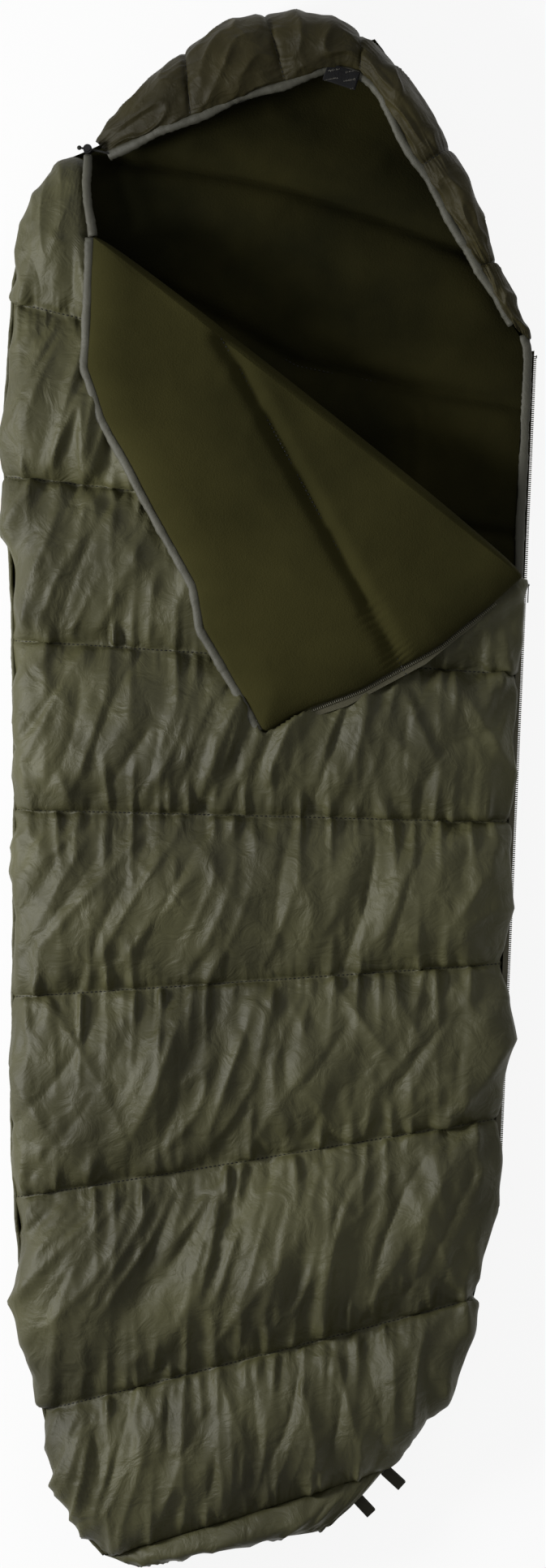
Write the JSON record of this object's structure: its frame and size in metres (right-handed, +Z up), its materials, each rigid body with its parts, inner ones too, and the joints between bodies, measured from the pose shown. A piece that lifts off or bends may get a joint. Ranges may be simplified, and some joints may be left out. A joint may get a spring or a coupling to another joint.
{
  "type": "mummy sleeping bag",
  "caption": "Quilted mummy sleeping bag lying flat, with a hood, a fleece lining, a side zip and the top of its front folded open.",
  "frame": {"origin": "centre of the bag's outline in plan, on the ground under it", "axes": "+Y towards the hood, +X towards the zip on the right side, +Z up out of the bag's front"},
  "size_m": [0.7875, 2.2991, 0.1414],
  "materials": {
    "shell_fabric": "satin ripstop-free polyester taffeta, olive",
    "lining_fleece": "matt brushed polyester fleece, dark olive",
    "insulation": "hollow-fibre polyester wadding",
    "hem_binding": "satin polyester, grey olive",
    "zip_tape": "woven polyester tape",
    "zip_coil": "nylon coil",
    "slider_metal": "black painted zinc",
    "drawcord": "braided polyester cord, black",
    "lock_plastic": "moulded acetal, black",
    "spring_steel": "spring wire",
    "hook_tape": "woven hook and loop tape, black",
    "webbing": "woven polyester webbing, black"
  },
  "bodies": {
    "bag": {"back_fill_1": "insulation", "back_fill_2": "insulation", "back_fill_3": "insulation", "back_fill_4": "insulation", "back_fill_5": "insulation", "back_fill_6": "insulation", "back_fill_7": "insulation", "back_fill_8": "insulation", "back_lining": "lining_fleece", "back_shell": "shell_fabric", "cord_end_knot": "drawcord", "drawcord": "drawcord", "foot_fill": "insulation", "foot_lining": "lining_fleece", "foot_shell": "shell_fabric", "front_fill_1": "insulation", "front_fill_2": "insulation", "front_fill_3": "insulation", "front_fill_4": "insulation", "front_fill_5": "insulation", "front_fill_6": "insulation", "front_fill_7": "insulation", "front_fill_8": "insulation", "front_hem": "hem_binding", "front_lining": "lining_fleece", "front_shell": "shell_fabric", "hang_loops": "webbing", "hood_back_fill": "insulation", "hood_back_lining": "lining_fleece", "hood_back_shell": "shell_fabric", "hood_fill_1": "insulation", "hood_fill_2": "insulation", "hood_fill_3": "insulation", "hood_fill_4": "insulation", "hood_fill_5": "insulation", "hood_fill_6": "insulation", "hood_hem": "hem_binding", "hood_lining": "lining_fleece", "hood_shell": "shell_fabric", "hook_patch": "hook_tape", "zip_bottom_stop": "slider_metal", "zip_coil_back": "zip_coil", "zip_coil_front": "zip_coil", "zip_tape_back": "zip_tape", "zip_tape_front": "zip_tape", "zip_top_stop": "slider_metal"},
    "flap": {"flap_fill_1": "insulation", "flap_fill_2": "insulation", "flap_hem": "hem_binding", "flap_lining": "lining_fleece", "flap_shell": "shell_fabric", "zip_coil_flap": "zip_coil", "zip_tape_flap": "zip_tape"},
    "slider": {"zip_slider": "slider_metal"},
    "pull": {"zip_pull": "slider_metal"},
    "cord_lock": {"cord_lock_body": "lock_plastic", "cord_lock_spring": "spring_steel"},
    "lock_button": {"cord_lock_button": "lock_plastic"}
  },
  "joints": [
    {"name": "flap_fold", "type": "hinge", "parent": "bag", "child": "flap", "pos_m": [0.0501, 0.55005, 0.10605], "axis": [-0.7838, 0.621, 0], "range_deg": [0, 172]},
    {"name": "zip_slide", "type": "slide", "parent": "bag", "child": "slider", "axis": [0.0433, 0.9991, 0], "range_m": [-0.842, 0.327]},
    {"name": "pull_swing", "type": "hinge", "parent": "slider", "child": "pull", "pos_m": [0.37765, 0.29379, 0.0422], "axis": [0, 0, 1], "range_deg": [0, 175]},
    {"name": "lock_slide", "type": "slide", "parent": "bag", "child": "cord_lock", "axis": [0.9854, -0.1701, 0], "range_m": [0, 0.009]},
    {"name": "lock_press", "type": "slide", "parent": "cord_lock", "child": "lock_button", "axis": [0, 0, -1], "range_m": [0, 0.003], "stiffness_N_per_m": 400, "springref_m": -0.002, "deforming": ["cord_lock_spring"]}
  ]
}
